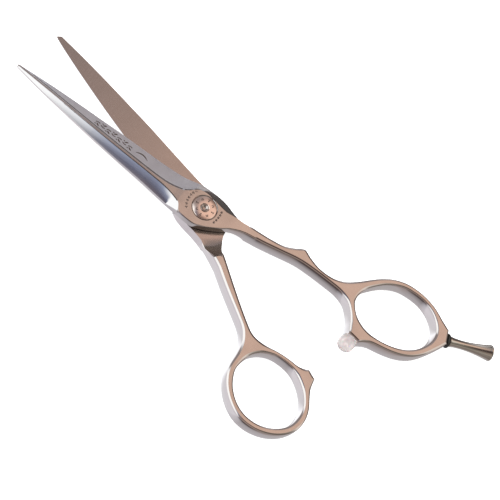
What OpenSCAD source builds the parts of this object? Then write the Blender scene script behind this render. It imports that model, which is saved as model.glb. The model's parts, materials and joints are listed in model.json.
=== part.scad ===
// Hair cutting shears, offset handles, shown 14.3 degrees open.
// Millimetres. The pivot axis is Z, the shears lie flat on z = 0.
// Blades point to -X, the finger ring with its tang is on the +Y side.

/* [Overall] */
// Total thickness at the pivot and through the rings
total_t = 5.4; // [4.6:0.1:6.4]
// Gap between the two halves, filled by the glide washer
ride_gap = 0.3; // [0.3:0.05:0.5]
// How far the blades stand open in the rest pose, degrees
open_angle = 14.3; // [8:0.1:30]
// Pivot to blade tip
blade_l = 69.7; // [50:0.5:85]

/* [Blades] */
// Angle of the flat ground behind the cutting edge
grind_angle = 20.5; // [15:0.5:35]
// Angle of the ground back of the blade
back_angle = 19; // [10:0.5:40]
// Fall of the blade back towards the tip, degrees
blade_taper = 1.35; // [0.5:0.05:2]
// Thickness left at the cutting edge
edge_t = 0.08; // [0.04:0.01:0.2]

/* [Pivot] */
// Diameter of the tension dial
dial_d = 7.8; // [6:0.1:10]
// Thickness of the tension dial
dial_t = 0.95; // [0.7:0.05:1.3]
// Diameter of the pivot journal
journal_d = 3.6; // [3:0.1:4.5]
// Radial running clearance of the journal
journal_gap = 0.03; // [0.01:0.01:0.1]
// Diameter of the bolt head at the back
head_d = 6.8; // [5:0.1:8]
// Height of the bolt head
head_t = 0.9; // [0.6:0.05:1.2]
// Diameter of the glide washer
glide_d = 10.4; // [8:0.1:12]
// Radius about the pivot that each handle is cleared to
clear_r = 10.9; // [10:0.1:12]
// Radius where the scooped clearance runs out
scoop_r = 15.6; // [13:0.1:18]

/* [Bumper] */
// Diameter of the rubber bumper
bumper_d = 5.2; // [4:0.1:6]
// Length of the bumper outside the metal
bumper_l = 4.6; // [3:0.1:7]
// Lean of the bumper axis off straight down, degrees
bumper_lean = -8; // [-20:1:20]

/* [Tang] */
// Length of the tang from the o-ring to its end
tang_l = 15.2; // [10:0.1:20]
// Diameter of the flared end of the tang
tang_end_d = 5.3; // [4:0.1:5.4]
// Diameter of the waist of the tang
tang_waist_d = 2.8; // [2:0.1:4]
// Direction of the tang, degrees up from +X
tang_angle = 24; // [0:1:45]
// Outside diameter of the o-ring under the tang
ring_d = 4.7; // [4:0.1:5.2]
// Thickness of the o-ring
ring_t = 1.1; // [0.8:0.05:1.5]

/* [Hidden] */
$fn = 64;
ride = total_t / 2;
upper_z = ride + ride_gap / 2;
lower_z = ride - ride_gap / 2;
dial_r = dial_d / 2;
dial_z = total_t - dial_t + 0.05;
plate_t = 0.25;
wave_t = 0.25;
plate_z = dial_z - 0.02 - plate_t;
wave_z = plate_z - 0.02 - wave_t;
bush_z = upper_z + 0.05;
bush_t = wave_z - 0.02 - bush_z;
bush_r = 2.6;
journal_r = journal_d / 2;
bore_r = journal_r + journal_gap;
screw_r = 1.3;
tang_foot = [84.55, 17.15, ride];
bumper_foot = [59.0, -3.3, ride];
stud_r = 1.0;
tang_stud_l = 4.6;

// A smooth curve through the points p, closed, with n pieces to each span
function curve_at(a, b, c, d, t) =
    0.5 * ((2 * b) + (c - a) * t
    + (2 * a - 5 * b + 4 * c - d) * t * t
    + (3 * b - a - 3 * c + d) * t * t * t);
function closed_curve(p, n) = [
    for (i = [0 : len(p) - 1], k = [0 : n - 1])
        curve_at(p[(i + len(p) - 1) % len(p)], p[i],
            p[(i + 1) % len(p)], p[(i + 2) % len(p)], k / n)];
// The same, open, from the first point to the last
function open_curve(p, n) = concat([
    for (i = [0 : len(p) - 2], k = [0 : n - 1])
        curve_at(p[max(i - 1, 0)], p[i], p[i + 1],
            p[min(i + 2, len(p) - 1)], k / n)], [p[len(p) - 1]]);
function flip(p) = [for (q = p) [q[0], -q[1]]];
function turned(p, a) = [
    for (q = p)
        [q[0] * cos(a) - q[1] * sin(a), q[0] * sin(a) + q[1] * cos(a)]];
function back_to_front(p) = [for (i = [len(p) - 1 : -1 : 0]) p[i]];

// Cutting edge and spine of a blade, both from the tip towards the pivot
edge_line = open_curve([[-blade_l, 0.9], [-60, 1.95], [-50, 2.78], [-40, 3.4],
    [-30, 3.95], [-20, 4.4], [-14, 4.85], [-10, 5.4], [-7, 6.3], [-5.2, 6.9]], 3);
spine_line = open_curve([[-blade_l + 0.1, -0.3], [-60, -1.7], [-50, -2.8],
    [-40, -3.85], [-30, -4.65], [-20, -5.4], [-10, -6.35], [-5.6, -6.6]], 3);
// The thumb blade is its mirror twin, half a millimetre shorter and slimmer
thumb_edge_line = open_curve([[-blade_l + 0.4, 0.15], [-68, 0.6], [-60, 1.65],
    [-50, 2.7], [-40, 3.55], [-30, 4.15], [-20, 4.55], [-14, 4.95], [-10, 5.4],
    [-7, 6.3], [-5.2, 6.9]], 3);
thumb_spine_line = open_curve([[-blade_l + 1.2, -1.1], [-60, -2.15], [-50, -3.15],
    [-40, -3.95], [-30, -4.7], [-20, -5.2], [-10, -5.75], [-5.6, -6.1]], 3);

// Lower side of the finger half, pivot to bumper boss
finger_low = open_curve([[-5.6, -6.6], [-3, -6.75], [0, -6.65], [2, -5.9],
    [4.2, -4.75], [8, -2.1], [10, -0.5], [14, 1.35], [20, 2.6], [26, 4.1],
    [32, 5.6], [37, 6.1], [44, 6.25], [48, 6.1], [51.3, 5.1], [53.6, 3.1],
    [55.2, 0.7], [56.3, -1.7], [57.0, -3.4]], 3);
// Bumper boss, ring and tang boss, to the top of the ring
finger_ring_out = open_curve([[61.3, -4.0], [62.8, -2.7], [65, -1.4], [68, -0.6],
    [71, 0.2], [74.4, 1.5], [77.6, 3.5], [80.2, 6.2], [82.2, 9.3],
    [83.9, 12.4], [85.1, 15.0]], 3);
finger_ring_top = open_curve([[83.5, 19.5], [80, 21.1], [76, 22.9], [72, 23.8],
    [68, 24.0], [64, 23.4], [60, 21.7], [56.8, 19.3], [54, 16.5], [51, 13.2],
    [48, 10.5], [45, 8.95], [42, 8.35], [38.5, 8.45], [35, 9.4], [32.5, 10.45]], 3);
finger_high = open_curve([[31.2, 10.15], [29.2, 8.65], [26, 6.9], [22, 6.0],
    [18, 5.45], [14, 5.05], [11, 5.2], [8, 5.9], [5, 6.8], [2, 7.2], [-2, 7.15],
    [-5.2, 6.9]], 3);
// Boundary between the ground blade and the flat of the pivot
finger_heel = [[-5.2, 6.9], [-6.0, 3.6], [-7.0, 1.4], [-8.4, 0.2], [-10.5, -0.6],
    [-15, -1.35], [-22, -1.55], [-15, -2.4], [-10, -3.6], [-7.2, -4.9], [-5.6, -6.6]];
finger_hole = [[53.65, 8.2], [54.3, 5.9], [56.6, 3.3], [60.4, 1.5], [64.5, 1.15],
    [69, 1.9], [73.6, 3.8], [77.4, 6.9], [79.6, 10.6], [80.3, 14.3], [79.2, 17.3],
    [76.4, 20.2], [72.6, 21.8], [68.4, 22.0], [63.8, 21.1], [59.4, 18.3],
    [55.9, 14.3], [54.1, 11.2]];

// Lower side of the thumb half, pivot to the foot of the thumb ring
thumb_low = open_curve([[-6.9, -5.5], [-5, -6.55], [-2, -7.4], [2, -8.1],
    [6, -9.2], [10, -11.0], [13.6, -12.9], [17.6, -15.8], [21.6, -18.5],
    [25.6, -21.1], [29.2, -23.6], [31.1, -25.9], [32.2, -28.4], [32.7, -31.5]], 3);
thumb_ring_out = open_curve([[32.7, -31.5], [32.95, -35.9], [34.0, -39.2],
    [36.3, -42.4], [39.6, -45.1], [43.4, -46.8], [47.5, -47.15], [51.6, -46.3],
    [55.4, -44.4], [58.4, -41.6], [60.1, -38.2], [60.4, -34.6], [59.6, -31.3],
    [58.0, -28.3], [56.9, -25.9], [56.45, -23.6], [56.25, -22.4]], 3);
thumb_ring_top = open_curve([[53.2, -21.0], [51.7, -21.75], [49.5, -22.35],
    [46, -22.4], [42.5, -22.75], [39, -23.35], [35.8, -23.5], [33.2, -22.95],
    [30.2, -21.1], [26.2, -18.25], [22.2, -15.25], [18.2, -12.15], [15.2, -9.8],
    [13.3, -8.35], [11.9, -7.0], [10.7, -4.6], [9.7, -2.2], [9.25, 0.4],
    [8.0, 3.0], [5.2, 5.2], [1.7, 6.5], [-2.3, 6.95], [-5.4, 7.2]], 3);
thumb_hole = [[35.3, -34.4], [35.9, -37.3], [37.9, -40.7], [41.2, -43.5],
    [45.2, -44.85], [49.6, -44.6], [53.7, -42.7], [56.7, -39.7], [57.9, -35.9],
    [57.6, -32.3], [55.8, -29.1], [52.7, -26.3], [49.2, -24.5], [45.6, -24.1],
    [42.1, -24.6], [38.8, -26.6], [36.3, -29.9]];

// Everything above a plane through the origin that rises along -Y at an angle
module above_slope(angle) {
    rotate([-angle, 0, 0])
        translate([-120, -60, 0])
            cube([240, 120, 30]);
}

// The fall of the blade's back towards its tip, from z = 0 down
module above_taper() {
    translate([-8, 0, 0])
        rotate([0, -blade_taper, 0])
            translate([-100, -20, 0])
                cube([100, 40, 10]);
}

// A blade with the flat inner face on z = 0 and its edge on the +Y side
module blade_solid(back_t, edge, spine) {
    difference() {
        linear_extrude(back_t)
            polygon(concat(edge, back_to_front(spine)));
        // flat ground behind the cutting edge
        translate([-blade_l, 0.85, edge_t])
            rotate([0, 0, 3.9])
                above_slope(grind_angle);
        // ground back, down to the spine
        translate([-20, -1.8, back_t - 0.35])
            rotate([0, 0, -2.2])
                above_slope(-back_angle);
        translate([0, 0, back_t])
            above_taper();
    }
}

// Cleared space under or over the other half, ramped out round the pivot
module scoop_clearance() {
    rotate_extrude($fn = 96)
        polygon(concat([[0, -0.01], [clear_r, -0.01]],
            [for (u = [0.2 : 0.2 : 1.01])
                [clear_r + (scoop_r - clear_r) * u,
                (total_t - lower_z) * (0.55 * u + 0.45 * u * u)]],
            [[scoop_r, 6], [0, 6]]));
}

// Seat for a journal along +Z, opened at both ends
module bore(r, z0, z1) {
    translate([0, 0, z0])
        cylinder(h = z1 - z0, r = r);
}

// Places children on the tang axis, +Z running outwards
module on_tang() {
    translate(tang_foot)
        rotate([0, 90, tang_angle])
            children();
}

// Places children on the bumper axis, +Z running outwards
module on_bumper() {
    translate(bumper_foot)
        rotate([90, 0, bumper_lean])
            children();
}

module finger_half() {
    color([0.80, 0.70, 0.65])
        difference() {
            union() {
                translate([0, 0, upper_z])
                    blade_solid(total_t - upper_z, edge_line, spine_line);
                difference() {
                    linear_extrude(total_t)
                        polygon(concat(finger_low, finger_ring_out,
                            finger_ring_top, finger_high, finger_heel));
                    // flank along the top of the pivot
                    translate([-12, 7.3, upper_z])
                        rotate([-39, 0, 0])
                            translate([0, -9, 0])
                                cube([25, 12, 6]);
                    translate([0, 0, total_t])
                        above_taper();
                    // the pivot and blade end at the ride face
                    translate([-60, -30, -1])
                        cube([60, 60, upper_z + 1]);
                    // room for the thumb half
                    translate([0, 0, upper_z])
                        mirror([0, 0, 1])
                            scoop_clearance();
                }
            }
            translate([0, 0, -1])
                linear_extrude(total_t + 2)
                    polygon(closed_curve(finger_hole, 4));
            // pivot stack seats, from the ride face upwards
            bore(bush_r, upper_z - 1, wave_z - 0.02);
            bore(dial_r + 0.05, wave_z - 0.02, total_t + 1);
            on_tang()
                translate([0, 0, -tang_stud_l - 0.4])
                    cylinder(h = tang_stud_l + 2, r = stud_r + 0.05);
            on_tang()
                cylinder(h = 3, r = 4);
            on_bumper()
                translate([0, 0, -2.4])
                    cylinder(h = 4, r = stud_r);
            on_bumper()
                cylinder(h = 6, r = 5);
        }
}

module thumb_half() {
    color([0.76, 0.66, 0.61])
        difference() {
            union() {
                translate([0, 0, lower_z])
                    rotate([0, 0, -open_angle])
                        mirror([0, 1, 0])
                            mirror([0, 0, 1])
                                blade_solid(lower_z, thumb_edge_line,
                                    thumb_spine_line);
                difference() {
                    linear_extrude(total_t)
                        polygon(concat(thumb_low, thumb_ring_out,
                            thumb_ring_top));
                    translate([0, 0, lower_z])
                        scoop_clearance();
                    rotate([0, 0, -open_angle])
                        mirror([0, 0, 1])
                            above_taper();
                }
            }
            translate([0, 0, -1])
                linear_extrude(total_t + 2)
                    polygon(closed_curve(thumb_hole, 4));
            // keyed seat for the bolt: round head, two flats
            bore(head_d / 2 + 0.05, -1, head_t + 0.02);
            bore(journal_r, -1, total_t);
        }
}

module pivot_bolt() {
    color([0.72, 0.68, 0.66])
        difference() {
            union() {
                bore(head_d / 2, 0.02, head_t);
                bore(journal_r, head_t, wave_z);
                bore(1.5, wave_z - 0.1, total_t - 0.25);
            }
            bore(0.8, total_t - 2.2, total_t + 1);
            // slot across the head
            translate([-4, -0.4, -0.5])
                cube([8, 0.8, 0.9]);
        }
}

module pivot_bush() {
    color([0.72, 0.53, 0.24])
        difference() {
            bore(bush_r, bush_z, bush_z + bush_t);
            bore(bore_r, upper_z - 1, total_t);
        }
}

module glide_washer() {
    color([0.92, 0.92, 0.90])
        difference() {
            bore(glide_d / 2, lower_z, upper_z - 0.01);
            bore(journal_r, lower_z - 1, total_t);
        }
}

module wave_washer() {
    color([0.62, 0.60, 0.58])
        difference() {
            bore(dial_r - 0.4, wave_z, wave_z + wave_t);
            bore(1.5, wave_z - 1, total_t);
        }
}

module click_plate() {
    color([0.66, 0.64, 0.62])
        difference() {
            bore(dial_r - 0.25, plate_z, plate_z + plate_t);
            bore(1.5, plate_z - 1, total_t);
            // detent holes round the plate
            for (a = [0 : 36 : 359])
                rotate([0, 0, a])
                    translate([2.7, 0, plate_z - 1])
                        cylinder(h = 3, r = 0.3, $fn = 24);
        }
}

module tension_dial() {
    color([0.74, 0.62, 0.56])
        difference() {
            bore(dial_r, dial_z, dial_z + dial_t);
            bore(1.53, dial_z - 1, total_t - 0.23);
            bore(screw_r + 0.04, total_t - 0.24, total_t + 1);
            // eight setting marks
            for (a = [0 : 45 : 359])
                rotate([0, 0, a + 10])
                    translate([2.65, -0.12, total_t - 0.08])
                        cube([0.6, 0.24, 1]);
        }
}

module lock_screw() {
    color([0.50, 0.48, 0.47])
        difference() {
            union() {
                bore(screw_r, total_t - 0.24, total_t - 0.02);
                bore(0.8, total_t - 2.0, total_t - 0.2);
            }
            // hexagon socket
            translate([0, 0, total_t - 0.75])
                cylinder(h = 2, r = 0.5, $fn = 6);
        }
}

module bumper() {
    color([0.88, 0.87, 0.86])
        on_bumper()
            difference() {
                rotate_extrude()
                    polygon(concat([[0, 0.02], [bumper_d / 2 - 0.15, 0.02],
                        [bumper_d / 2 - 0.15, 0.9], [bumper_d / 2, 1.3]],
                        [for (a = [0 : 10 : 90])
                            [bumper_d / 2 * cos(a),
                            bumper_l - 2.0 + 2.0 * sin(a)]]));
                translate([0, 0, -1])
                    cylinder(h = 3.2, r = stud_r);
            }
}

module bumper_stud() {
    color([0.80, 0.80, 0.80])
        on_bumper()
            translate([0, 0, -2.2])
                cylinder(h = 4.4, r = stud_r);
}

// Radius of the tang at u, 0 at the o-ring and 1 at the flared end
function tang_r(u) = u < 0.3
    ? tang_waist_d / 2 + 0.35 * pow(1 - u / 0.3, 2)
    : tang_waist_d / 2 + (tang_end_d - tang_waist_d) / 2
        * pow((u - 0.3) / 0.7, 1.35);

module tang() {
    color([0.60, 0.58, 0.56])
        on_tang()
            difference() {
                rotate_extrude()
                    polygon(concat([[0, ring_t + 0.02]],
                        [for (u = [0 : 0.08 : 0.96])
                            [tang_r(u), ring_t + 0.02 + u * (tang_l - 0.7)]],
                        [[tang_end_d / 2, ring_t + tang_l - 0.75],
                        [tang_end_d / 2 - 0.15, ring_t + tang_l - 0.4],
                        [tang_end_d / 2 - 0.8, ring_t + tang_l - 0.05],
                        [0, ring_t + tang_l]]));
                translate([0, 0, ring_t - 1])
                    cylinder(h = 4, r = stud_r);
            }
}

module tang_stud() {
    color([0.66, 0.65, 0.64])
        on_tang()
            translate([0, 0, -tang_stud_l])
                cylinder(h = tang_stud_l + ring_t + 2.98, r = stud_r);
}

module tang_o_ring() {
    color([0.10, 0.10, 0.10])
        on_tang()
            rotate_extrude()
                polygon([for (a = [0 : 20 : 359])
                    [(ring_d / 2 + stud_r + 0.05) / 2
                    + (ring_d / 2 - stud_r - 0.05) / 2 * cos(a),
                    ring_t / 2 + 0.01 + ring_t / 2 * sin(a)]]);
}

finger_half();
thumb_half();
pivot_bolt();
pivot_bush();
glide_washer();
wave_washer();
click_plate();
tension_dial();
lock_screw();
bumper();
bumper_stud();
tang();
tang_stud();
tang_o_ring();
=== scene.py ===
# %% [markdown]
# # Hair cutting shears, offset handles
# A lesson in building one real tool in Blender. The shears are two forged steel
# halves on a pivot bolt, with a tension dial, a rubber bumper and a screw-in tang.
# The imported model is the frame: it gives every piece its place and its body, so
# each visible surface here is a finer mesh laid exactly where its plain solid is.
# Sizes are worked in millimetres and turned to metres in one place.

import json
import math

import bmesh
import bpy
import numpy as np
from mathutils import Matrix, Vector
from mathutils.bvhtree import BVHTree
from mathutils.geometry import delaunay_2d_cdt

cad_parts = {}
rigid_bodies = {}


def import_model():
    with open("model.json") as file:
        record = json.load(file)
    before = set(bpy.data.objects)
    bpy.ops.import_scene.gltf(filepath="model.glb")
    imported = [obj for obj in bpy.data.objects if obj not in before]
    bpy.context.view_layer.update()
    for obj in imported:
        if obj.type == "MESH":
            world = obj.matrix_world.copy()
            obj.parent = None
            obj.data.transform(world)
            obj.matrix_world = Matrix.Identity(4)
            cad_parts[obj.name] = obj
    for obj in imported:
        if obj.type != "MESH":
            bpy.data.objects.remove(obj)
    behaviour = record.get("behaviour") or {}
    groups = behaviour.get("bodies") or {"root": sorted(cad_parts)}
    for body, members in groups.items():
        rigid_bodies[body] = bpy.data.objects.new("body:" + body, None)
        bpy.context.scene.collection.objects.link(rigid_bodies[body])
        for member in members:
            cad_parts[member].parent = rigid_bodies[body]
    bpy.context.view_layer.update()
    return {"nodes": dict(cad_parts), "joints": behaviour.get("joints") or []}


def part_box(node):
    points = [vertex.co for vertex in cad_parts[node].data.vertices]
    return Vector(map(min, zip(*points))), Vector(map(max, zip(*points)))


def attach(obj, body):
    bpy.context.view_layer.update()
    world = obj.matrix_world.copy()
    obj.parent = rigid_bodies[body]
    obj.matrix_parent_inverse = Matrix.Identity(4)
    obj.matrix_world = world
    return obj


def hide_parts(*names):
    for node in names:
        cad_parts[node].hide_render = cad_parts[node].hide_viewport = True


for leftover in list(bpy.data.objects):
    bpy.data.objects.remove(leftover)
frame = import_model()
nodes = frame["nodes"]
MM = 0.001

# %% [markdown]
# ## Sizes that drive the shapes
# Both halves are ground from 5.4 mm stock. Each keeps its own half of that
# thickness round the pivot, where they ride on each other, and the full thickness
# along the handle, whose widest line runs just under the ride face. The dial and the
# bolt are read from the frame, so a change in the solid model carries through.

# %% Driving sizes
dial_low, dial_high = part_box("tension_dial")
bolt_low, bolt_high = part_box("pivot_bolt")
FULL = round(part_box("finger_half")[1].z / MM, 3)
BUSH_BACK = 0.05
RIDE_UP = round(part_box("pivot_bush")[0].z / MM - BUSH_BACK, 3)
RIDE_LOW = round(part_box("glide_washer")[0].z / MM, 3)
HALF_T = FULL - RIDE_UP
WIDEST = -0.053 * RIDE_UP
DIAL_R = (dial_high.x - dial_low.x) / 2 / MM
CLEAR_R = 10.9
SCOOP_R = 15.6
OPEN = math.radians(14.3)
SAMPLE = 0.4
print("thickness", FULL, "ride faces", RIDE_UP, RIDE_LOW, "dial radius", round(DIAL_R, 2))

# %% [markdown]
# ## Lines of the halves
# A forged half is drawn first as a plan: a few dozen points down each side, joined
# by a smooth curve. Catmull-Rom curves pass through their points, so every point is
# a width that could be checked with calipers. Each curve is then cut into even
# steps, so that the mesh has even faces and clean reflections.

# %% Smooth lines and even steps
SPLIT = 12


def evenly(line, count=None, step=SAMPLE):
    """The same line cut into even steps."""
    line = np.array(line, float)
    run = np.r_[0, np.cumsum(np.linalg.norm(np.diff(line, axis=0), axis=1))]
    count = count or max(3, int(round(run[-1] / step)) + 1)
    at = np.linspace(0, run[-1], count)
    return np.column_stack([np.interp(at, run, line[:, k]) for k in range(line.shape[1])])


def smooth(points, closed=False, step=SAMPLE):
    """A smooth line through the points, in even steps."""
    p = np.array(points, float)
    if closed:
        p = np.vstack([p[-1], p, p[0], p[1]])
    else:
        p = np.vstack([p[0], p, p[-1]])
    out = []
    for a, b, c, d in zip(p, p[1:], p[2:], p[3:]):
        for t in np.linspace(0, 1, SPLIT, endpoint=False):
            out.append(0.5 * (2 * b + (c - a) * t + (2 * a - 5 * b + 4 * c - d) * t**2
                              + (3 * b - a - 3 * c + d) * t**3))
    if not closed:
        out.append(p[-2])
        return evenly(out, step=step)
    out.append(out[0])
    return evenly(out, step=step)[:-1]


def ease(t):
    """0 to 1 with soft ends."""
    t = np.clip(t, 0, 1)
    return t * t * (3 - 2 * t)


def to_thumb(line):
    """A line of the blade, mirrored and swung to where the thumb blade lies at rest."""
    line = np.array(line, float)
    x, y = line[:, 0], -line[:, 1]
    return np.column_stack([x * math.cos(OPEN) + y * math.sin(OPEN),
                            -x * math.sin(OPEN) + y * math.cos(OPEN)])


print("steps along every line:", SAMPLE, "mm; the blades stand", round(math.degrees(OPEN), 1),
      "degrees apart")

# %% [markdown]
# ## Plan of the finger half
# The finger half carries the blade whose satin face is seen, the pivot with its
# dial, the long shank, the bumper boss, and the larger ring. Its plan is one loop,
# made of named stretches. A second set of lines says where the flat outer faces
# begin: the ridge of the blade, the narrow strip beside it, and the foot of the flank.

# %% Lines of the finger half
edge_line = [
    (-69.7, 0.9), (-60, 1.95), (-50, 2.78), (-40, 3.4), (-30, 3.95), (-20, 4.4), (-14, 4.85),
    (-10, 5.4), (-7, 6.3), (-5.2, 6.9)]
spine_line = [
    (-69.6, -0.3), (-60, -1.7), (-50, -2.8), (-40, -3.85), (-30, -4.65), (-20, -5.4),
    (-10, -6.35), (-5.6, -6.6)]
ridge_line = [
    (-69.1, 0.5), (-60, 0.1), (-50, -0.4), (-40, -0.8), (-30, -1.15), (-20, -1.35), (-14, -1.2),
    (-10.5, -0.5), (-8.4, 0.2)]
strip_line = [
    (-69.05, 0.1), (-60, -0.35), (-50, -0.8), (-40, -1.25), (-30, -1.6), (-20, -1.9),
    (-14, -2.2), (-10, -2.9), (-8, -3.6), (-7, -4.4), (-6, -6.0)]
finger_low = [
    (-5.6, -6.6), (-3, -6.75), (0, -6.65), (2, -5.9), (4.2, -4.75), (8, -2.1), (10, -0.5),
    (14, 1.35), (20, 2.6), (26, 4.1), (32, 5.6), (37, 6.1), (44, 6.25), (48, 6.1), (51.3, 5.1),
    (53.6, 3.1), (55.2, 0.7), (56.3, -1.7), (57.0, -3.4)]
finger_ring_out = [
    (61.3, -4.0), (62.8, -2.7), (65, -1.4), (68, -0.6), (71, 0.2), (74.4, 1.5), (77.6, 3.5),
    (80.2, 6.2), (82.2, 9.3), (83.9, 12.4), (85.1, 15.0)]
finger_ring_top = [
    (83.5, 19.5), (80, 21.1), (76, 22.9), (72, 23.8), (68, 24.0), (64, 23.4), (60, 21.7),
    (56.8, 19.3), (54, 16.5), (51, 13.2), (48, 10.5), (45, 8.95), (42, 8.35), (38.5, 8.45),
    (35, 9.4), (32.5, 10.45)]
finger_top = [(31.2, 10.15), (29.2, 8.65), (26, 6.9), (22, 6.0), (18, 5.45), (14, 5.05)]
finger_flank = [(14, 5.05), (11, 5.2), (8, 5.9), (5, 6.8), (2, 7.2), (-2, 7.15), (-5.2, 6.9)]
flank_foot = [
    (14, 4.4), (12, 4.1), (10, 4.0), (8, 3.7), (6, 3.4), (4, 3.6), (2, 3.9), (0, 4.2), (-2, 4.4),
    (-4, 4.0), (-5, 3.3), (-6, 2.3), (-7, 1.2), (-8.4, 0.2)]
finger_hole = [
    (53.65, 8.2), (54.3, 5.9), (56.6, 3.3), (60.4, 1.5), (64.5, 1.15), (69, 1.9), (73.6, 3.8),
    (77.4, 6.9), (79.6, 10.6), (80.3, 14.3), (79.2, 17.3), (76.4, 20.2), (72.6, 21.8),
    (68.4, 22.0), (63.8, 21.1), (59.4, 18.3), (55.9, 14.3), (54.1, 11.2)]
print("finger half:", len(finger_low) + len(finger_ring_top) + len(finger_ring_out),
      "points down the handle")

# %% [markdown]
# ## Plan of the thumb half
# The thumb half is the mirror twin at the blade, half a millimetre shorter and
# slimmer, and by the pivot its blade lines are the finger half's own. Its shank drops
# away to a smaller ring that is offset for the thumb, with a short spur that meets
# the bumper when the shears close.

# %% Lines of the thumb half
thumb_edge = [(-69.3, 0.15), (-68, 0.6), (-60, 1.65), (-50, 2.7), (-40, 3.55),
              (-30, 4.15), (-20, 4.55), (-14, 4.95)] + edge_line[-3:]
thumb_spine = [
    (-68.5, -1.1), (-60, -2.15), (-50, -3.15), (-40, -3.95), (-30, -4.7), (-20, -5.2),
    (-10, -5.75), (-5.6, -6.1)]
thumb_ridge = [(-68.5, -0.1), (-60, -0.1), (-50, -0.5)] + ridge_line[3:]
thumb_strip = [(-68.3, -0.5), (-60, -0.6), (-50, -0.95), (-40, -1.3)] + strip_line[4:-1] + [
    (-6, -5.5)]
thumb_side = [
    (-6.9, -5.5), (-5, -6.55), (-2, -7.4), (2, -8.1), (6, -9.2), (10, -11.0), (13.6, -12.9)]
thumb_low = [
    (13.6, -12.9), (17.6, -15.8), (21.6, -18.5), (25.6, -21.1), (29.2, -23.6), (31.1, -25.9),
    (32.2, -28.4), (32.7, -31.5), (32.95, -35.9), (34.0, -39.2), (36.3, -42.4), (39.6, -45.1),
    (43.4, -46.8), (47.5, -47.15), (51.6, -46.3), (55.4, -44.4), (58.4, -41.6), (60.1, -38.2),
    (60.4, -34.6), (59.6, -31.3), (58.0, -28.3), (56.9, -25.9), (56.45, -23.6), (56.25, -22.4)]
thumb_top = [
    (53.2, -21.0), (51.7, -21.75), (49.5, -22.35), (46, -22.4), (42.5, -22.75), (39, -23.35),
    (35.8, -23.5), (33.2, -22.95), (30.2, -21.1), (26.2, -18.25), (22.2, -15.25), (18.2, -12.15),
    (15.2, -9.8), (13.3, -8.35), (11.9, -7.0), (10.7, -4.6), (9.7, -2.2), (9.25, 0.4),
    (8.0, 3.0), (5.2, 5.2), (1.7, 6.5), (-2.3, 6.95), (-5.4, 7.2)]
thumb_hole = [
    (35.3, -34.4), (35.9, -37.3), (37.9, -40.7), (41.2, -43.5), (45.2, -44.85), (49.6, -44.6),
    (53.7, -42.7), (56.7, -39.7), (57.9, -35.9), (57.6, -32.3), (55.8, -29.1), (52.7, -26.3),
    (49.2, -24.5), (45.6, -24.1), (42.1, -24.6), (38.8, -26.6), (36.3, -29.9)]
print("thumb half:", len(thumb_low) + len(thumb_top), "points down the handle")

# %% [markdown]
# ## Heights
# Heights are measured from the ride face, where the halves touch. The outer face is
# 2.55 mm up and falls away along the blade, so the tip is under a millimetre thick.
# On the other side the handle runs past the ride face to the full thickness, and a
# round scoop about the pivot leaves room for the other half.

# %% Heights along the blade and in the scoop


def land_height(along):
    """Outer face above the ride face, by the distance along the blade."""
    return np.interp(along, [-69.5, -60, -40, -20, -10, -7.5],
                     [0.75, 1.1, 1.7, 2.2, 2.45, HALF_T])


def spine_height(along):
    """Top of the straight wall along the spine."""
    return np.interp(along, [-69.5, -60, -40, -20, -5], [0.4, 0.55, 0.78, 1.05, 1.1])


def scoop_depth(x, y):
    """How far the handle runs past the ride face, at its other side."""
    run = np.clip((np.hypot(x, y) - CLEAR_R) / (SCOOP_R - CLEAR_R), 0, 1)
    return np.where(np.asarray(x) < 0, 0, -RIDE_UP * (0.55 * run + 0.45 * run**2))


print("outer face at the tip:", float(land_height(-69.5)), "mm above the ride face")

# %% [markdown]
# ## One loop from many stretches
# Each half is one closed loop. Every sample on it knows its point, the point on the
# flat land that it leads to, and the kind of surface between: a rounded wall, the
# flank at the pivot, the satin bevel behind the cutting edge, or the hollow behind the
# spine. Where no land line is given, the land starts a set distance inside the wall.

# %% A loop and its stretches


class Loop:
    """Samples round one closed outline, with the land point and surface kind of each."""

    def __init__(self):
        self.point, self.land, self.kind = [], [], []

    def add(self, line, kind, land=None):
        line = np.array(line, float)
        goal = evenly(land, len(line)) if land is not None else np.full((len(line), 2), np.nan)
        self.point += list(line[:-1])
        self.land += list(goal[:-1])
        self.kind += [kind] * (len(line) - 1)
        return self

    def close(self, inset, inward=1):
        self.point, self.land = np.array(self.point), np.array(self.land)
        self.normal = loop_normals(self.point) * inward
        if np.isscalar(inset):
            inset = np.full(len(self.point), inset)
        self.inset = inset
        free = np.isnan(self.land[:, 0])
        self.land[free] = (self.point + self.normal * inset[:, None])[free]
        self.land = untangle(self.point, self.land, free)
        return self


# %% Softening round a loop


def around(values, sigma):
    """Values round a closed loop, averaged softly over their neighbours."""
    reach = int(3 * sigma) + 1
    weights = np.exp(-0.5 * (np.arange(-reach, reach + 1) / sigma) ** 2)
    weights /= weights.sum()
    return sum(w * np.roll(values, k, axis=0) for k, w in zip(range(-reach, reach + 1), weights))


def loop_normals(points, sigma=1.3):
    """Unit normals to the left of a closed loop, softened at corners."""
    way = np.roll(points, -1, axis=0) - np.roll(points, 1, axis=0)
    way /= np.linalg.norm(way, axis=1)[:, None]
    return around(np.column_stack([-way[:, 1], way[:, 0]]), sigma)


def untangle(points, land, free, rounds=60, least=0.2):
    """Eases a land line where its steps get shorter than the least share, or fold back."""
    for _ in range(rounds):
        step = np.roll(points, -1, axis=0) - points
        shift = np.roll(land, -1, axis=0) - land
        folded = (step * shift).sum(1) < least * (step**2).sum(1)
        near = (folded | np.roll(folded, 1) | np.roll(folded, -1) | np.roll(folded, 2)) & free
        if not near.any():
            break
        mean = 0.5 * land + 0.25 * np.roll(land, 1, axis=0) + 0.25 * np.roll(land, -1, axis=0)
        land[near] = mean[near]
    return land


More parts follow.
